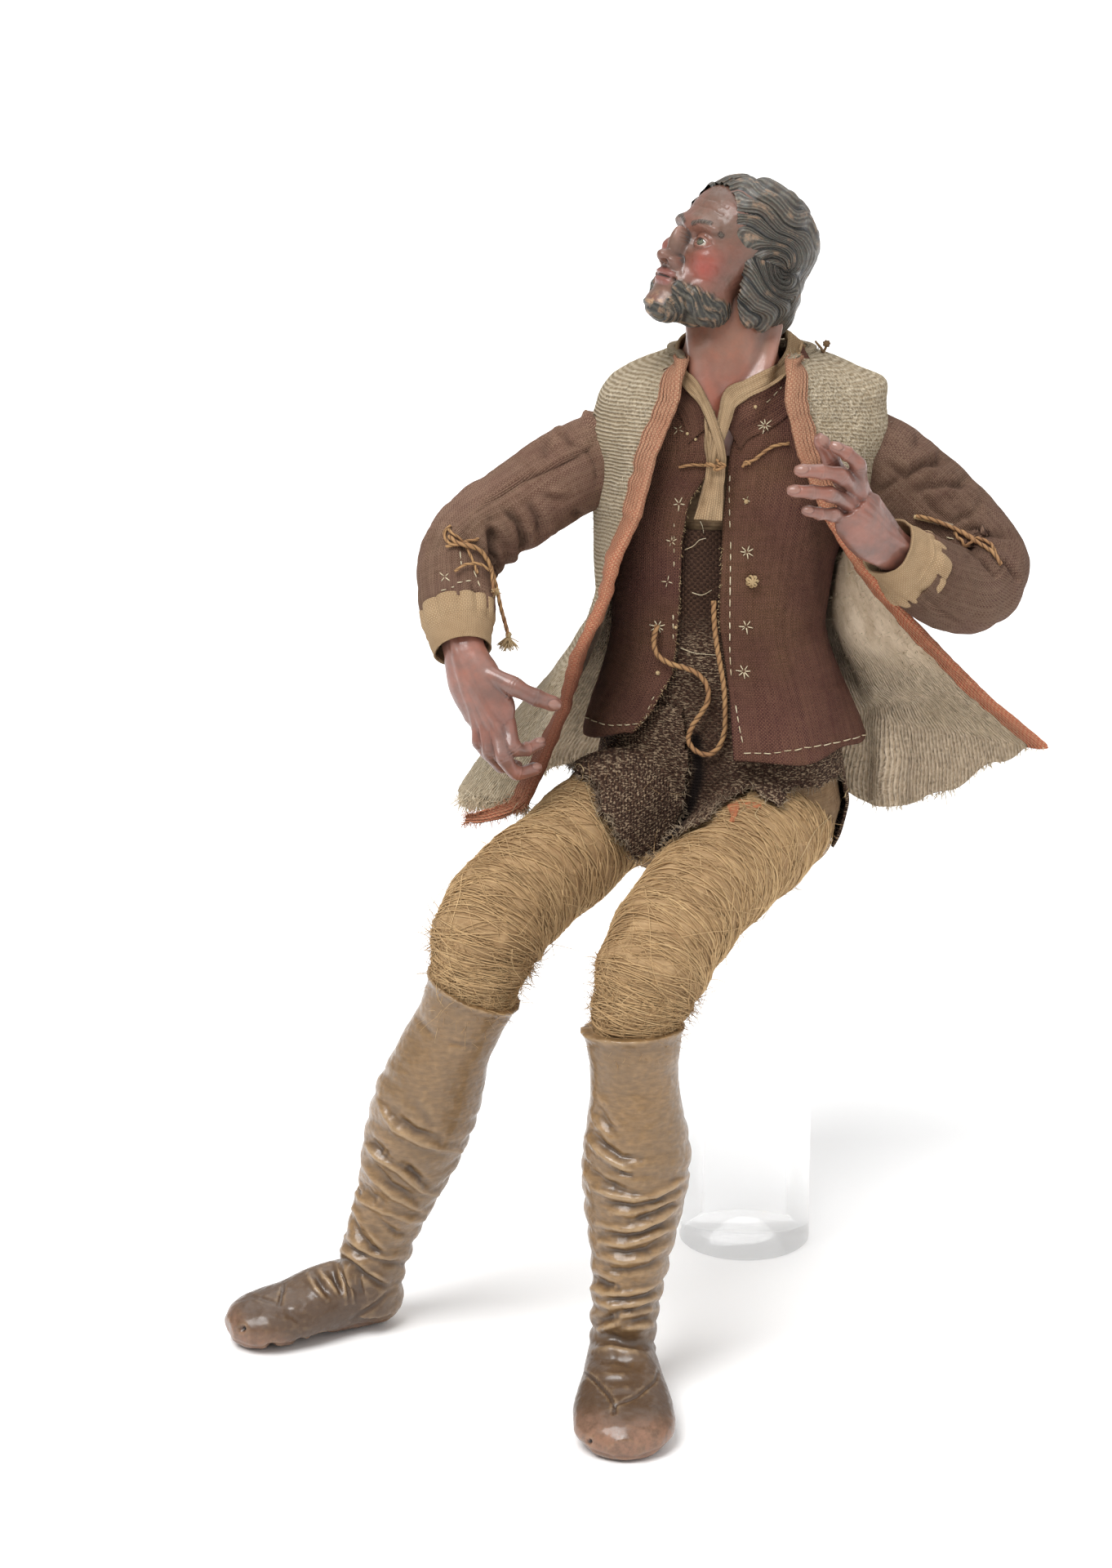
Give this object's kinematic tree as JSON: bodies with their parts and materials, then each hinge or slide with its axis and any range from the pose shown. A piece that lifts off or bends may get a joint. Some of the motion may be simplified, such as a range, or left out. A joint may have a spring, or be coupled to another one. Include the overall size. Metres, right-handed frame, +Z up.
{
  "type": "presepe figure",
  "caption": "Seated crib figure with clay head, carved hands and booted legs, tow body and real cloth clothes, on a clear round post.",
  "frame": {"origin": "centre of the clear post's foot, on the floor", "axes": "+Z up from the floor to the crown of the head, -Y to the front of the figure, +X to the figure's left"},
  "size_m": [0.2418, 0.206, 0.3277],
  "materials": {
    "clear_acrylic": "clear acrylic, polished, see-through",
    "flax_tow": "bound flax tow, dry and fibrous",
    "painted_wood": "carved wood, worn olive-brown oil paint, satin",
    "painted_hand": "carved wood, flesh paint, satin",
    "linen": "aged linen, matt",
    "glass_eye": "glass eye, glossy",
    "fired_clay": "fired clay, red-brown flesh paint, semi-gloss",
    "breeches_wool": "dark marled wool, matt",
    "jacket_wool": "coarse brown wool cloth, matt",
    "vest_wool": "thick ribbed undyed wool, matt",
    "binding_linen": "faded red-brown binding, matt",
    "lace_cord": "plaited lace, matt"
  },
  "bodies": {
    "root": {"clear_post": "clear_acrylic", "tow_body": "flax_tow", "right_leg": "painted_wood", "right_hand": "painted_hand", "right_shirt_cuff": "linen", "right_eye": "glass_eye", "left_leg": "painted_wood", "left_hand": "painted_hand", "left_shirt_cuff": "linen", "left_eye": "glass_eye", "head_and_bust": "fired_clay", "breeches": "breeches_wool", "shirt": "linen", "jacket": "jacket_wool", "vest": "vest_wool", "vest_binding_right": "binding_linen", "vest_binding_left": "binding_linen", "front_lace": "lace_cord", "right_sleeve_lace": "lace_cord", "left_sleeve_lace": "lace_cord"}
  },
  "joints": []
}
